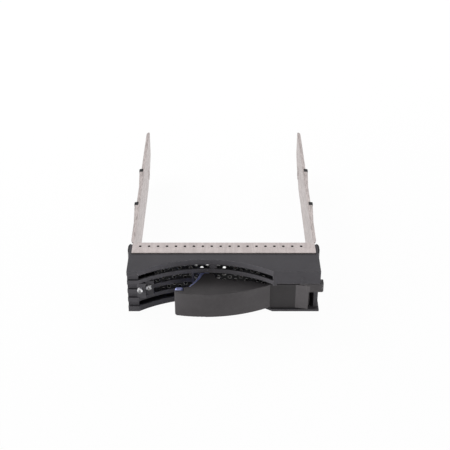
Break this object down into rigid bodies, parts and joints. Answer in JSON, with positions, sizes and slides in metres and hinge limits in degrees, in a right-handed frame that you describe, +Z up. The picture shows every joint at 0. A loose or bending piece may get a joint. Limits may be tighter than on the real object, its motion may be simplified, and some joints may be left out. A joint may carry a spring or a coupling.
{
  "type": "hot swap drive caddy",
  "caption": "Hot swap caddy for a 3.5-inch server drive: louvred black bezel with a swinging bow handle and blue latch, and a perforated steel tray with open side rails.",
  "frame": {"origin": "middle of the bezel's front plane, on the tray's underside", "axes": "+X to the right of a person who faces the bezel, +Y into the bay along the rails, +Z up through the thin height"},
  "size_m": [0.1102, 0.1758, 0.0282],
  "materials": {
    "bezel_plastic": "fine spark texture, warm black",
    "handle_plastic": "fine spark texture, warm black",
    "screen_black": "black, perforated",
    "steel": "zinc plated, fine brushed",
    "screw_steel": "nickel plated",
    "nylon": "smooth black nylon",
    "clear": "frosted clear polycarbonate",
    "latch_blue": "smooth blue touch point"
  },
  "bodies": {
    "tray": {"bezel_body": "bezel_plastic", "vent_screen": "screen_black", "carrier_frame": "steel", "bezel_screws": "screw_steel", "side_bumper_left": "nylon", "side_bumper_right": "nylon", "glide_left_front": "nylon", "glide_left_rear": "nylon", "glide_right_front": "nylon", "glide_right_rear": "nylon", "light_pipe_outer": "clear", "light_pipe_inner": "clear", "pipe_clip_front": "nylon", "pipe_clip_middle": "nylon", "pipe_clip_rear": "nylon", "hinge_pin": "screw_steel", "hinge_washer_lower": "nylon", "hinge_washer_upper": "nylon"},
    "handle": {"handle_shell": "handle_plastic", "latch_pin": "screw_steel"},
    "latch": {"latch_lever": "latch_blue", "latch_spring": "screw_steel"}
  },
  "joints": [
    {"name": "handle_swing", "type": "hinge", "parent": "tray", "child": "handle", "pos_m": [0.044, 0.0035, 0.01], "axis": [0, 0, 1], "range_deg": [0, 80]},
    {"name": "latch_press", "type": "hinge", "parent": "handle", "child": "latch", "pos_m": [-0.01653, -0.0025, 0.01], "axis": [0, 0, 1], "range_deg": [0, 5], "stiffness_Nm_per_rad": 0.05}
  ]
}
